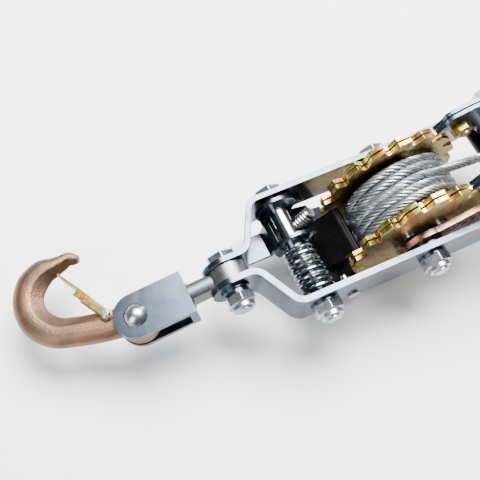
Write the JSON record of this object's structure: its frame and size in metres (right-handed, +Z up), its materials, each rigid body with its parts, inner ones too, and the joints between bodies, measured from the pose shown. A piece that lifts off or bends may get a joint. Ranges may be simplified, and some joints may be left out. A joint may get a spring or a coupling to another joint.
{
  "type": "come along winch",
  "caption": "Hand ratchet cable puller: strap frame, wire-rope drum between double ratchet wheels, crank lever, stop and drive pawls, swivel anchor hook and running hook.",
  "frame": {"origin": "middle of the anchor hook's bowl, where the winch is anchored, on the middle plane of the hook", "axes": "+X from the anchor hook along the frame to the running hook and the lever, +Y to the bolt-head side of the frame, +Z up, with the lever and the rope on the upper side"},
  "size_m": [0.6967, 0.121, 0.1914],
  "materials": {
    "zinc_steel": "bright blue-white zinc plating on mild steel",
    "yellow_zinc": "yellow chromate zinc plating with a faint rainbow",
    "bronze_zinc": "yellow-brown chromate over a drop-forged skin",
    "black_steel": "black oxide",
    "wire_rope": "galvanised wire, slightly oiled",
    "rubber_grip": "matt moulded rubber",
    "handle_paint": "bright zinc tube",
    "spring_steel": "zinc plated spring wire"
  },
  "bodies": {
    "frame": {"strap_left": "zinc_steel", "strap_right": "zinc_steel", "clevis_bolt": "zinc_steel", "pivot_bolt": "zinc_steel", "axle_bolt": "zinc_steel", "front_bolt": "zinc_steel", "frame_nuts": "zinc_steel", "frame_washers": "zinc_steel", "pivot_sleeve": "zinc_steel", "axle_sleeve": "zinc_steel", "front_spacer": "black_steel", "axle_spacers": "zinc_steel", "spring_pin": "zinc_steel", "pawl_spring": "spring_steel"},
    "anchor_eye": {"swivel_eye": "zinc_steel", "swivel_nut": "zinc_steel"},
    "anchor_yoke": {"swivel_yoke": "zinc_steel", "hook_rivet": "zinc_steel"},
    "anchor_hook": {"anchor_hook": "bronze_zinc", "anchor_latch_pin": "zinc_steel", "anchor_latch_spring": "spring_steel"},
    "anchor_latch": {"anchor_latch": "yellow_zinc"},
    "stop_pawl": {"pawl_carrier": "zinc_steel", "pawl_plate": "black_steel", "pawl_screw": "zinc_steel"},
    "drum": {"drum_core": "black_steel", "wheel_left_outer": "yellow_zinc", "wheel_left_inner": "yellow_zinc", "wheel_right_inner": "yellow_zinc", "wheel_right_outer": "yellow_zinc", "drum_rivets": "zinc_steel", "rope_winding": "wire_rope"},
    "lever": {"yoke_plate_left": "yellow_zinc", "yoke_plate_right": "yellow_zinc", "handle_tube": "handle_paint", "handle_grip": "rubber_grip", "handle_bolts": "zinc_steel", "handle_nuts": "zinc_steel", "drive_bolt": "zinc_steel", "drive_nut": "zinc_steel"},
    "drive_pawl": {"drive_plate_left_outer": "zinc_steel", "drive_plate_left_inner": "zinc_steel", "drive_plate_right_inner": "zinc_steel", "drive_plate_right_outer": "zinc_steel", "drive_studs": "yellow_zinc", "drive_sleeve": "zinc_steel", "drive_spring": "spring_steel"},
    "rope_end": {"rope_lead": "wire_rope", "rope_ferrule": "zinc_steel", "rope_loop": "wire_rope", "rope_thimble": "zinc_steel"},
    "running_hook": {"running_hook": "bronze_zinc", "hook_pin": "zinc_steel", "running_latch_pin": "zinc_steel", "running_latch_spring": "spring_steel"},
    "running_latch": {"running_latch": "yellow_zinc"}
  },
  "joints": [
    {"name": "clevis_hinge", "type": "hinge", "parent": "frame", "child": "anchor_eye", "pos_m": [0.09752, -0.03571, 0.01371], "axis": [0, 1, 0], "range_deg": [-60, 75]},
    {"name": "anchor_swivel", "type": "hinge", "parent": "anchor_eye", "child": "anchor_yoke", "pos_m": [0.07771, -0.03571, 0.01092], "axis": [0.9903, 0, 0.1392], "continuous": true},
    {"name": "hook_swing", "type": "hinge", "parent": "anchor_yoke", "child": "anchor_hook", "pos_m": [0.03661, -0.03571, 0.00515], "axis": [-0.1392, 0, 0.9903], "range_deg": [-46, 134]},
    {"name": "anchor_latch_hinge", "type": "hinge", "parent": "anchor_hook", "child": "anchor_latch", "pos_m": [0.02034, -0.02609, 0.00286], "axis": [-0.1392, 0, 0.9903], "range_deg": [0, 24], "stiffness_Nm_per_rad": 0.02, "springref_deg": -28.65},
    {"name": "stop_pawl_hinge", "type": "hinge", "parent": "frame", "child": "stop_pawl", "pos_m": [0.14452, -0.03571, 0.01371], "axis": [0, -1, 0], "range_deg": [0, 8], "stiffness_Nm_per_rad": 0.3, "springref_deg": 17.19},
    {"name": "drum_spin", "type": "hinge", "parent": "frame", "child": "drum", "pos_m": [0.22152, -0.03571, 0.01371], "axis": [0, 1, 0], "range_deg": [0, 360]},
    {"name": "lever_swing", "type": "hinge", "parent": "frame", "child": "lever", "pos_m": [0.22152, -0.03571, 0.01371], "axis": [0, -1, 0], "range_deg": [0, 90]},
    {"name": "drive_pawl_hinge", "type": "hinge", "parent": "lever", "child": "drive_pawl", "pos_m": [0.29652, -0.03571, 0.04671], "axis": [0, -1, 0], "range_deg": [0, 8], "stiffness_Nm_per_rad": 0.3, "springref_deg": 17.19},
    {"name": "rope_pull", "type": "slide", "parent": "frame", "child": "rope_end", "axis": [0.9866, 0, -0.1633], "range_m": [0, 0.215], "deforming": ["rope_lead"]},
    {"name": "running_hook_hinge", "type": "hinge", "parent": "rope_end", "child": "running_hook", "pos_m": [0.3593, -0.03571, 0.02556], "axis": [0.1633, 0, 0.9866], "range_deg": [-75, 75]},
    {"name": "running_latch_hinge", "type": "hinge", "parent": "running_hook", "child": "running_latch", "pos_m": [0.39531, -0.0332, 0.0196], "axis": [0.1633, 0, 0.9866], "range_deg": [0, 28], "stiffness_Nm_per_rad": 0.02, "springref_deg": -28.65}
  ],
  "couplings": [
    {"joint": "rope_pull", "follows": "drum_spin", "m_per_rad": 0.0342}
  ]
}
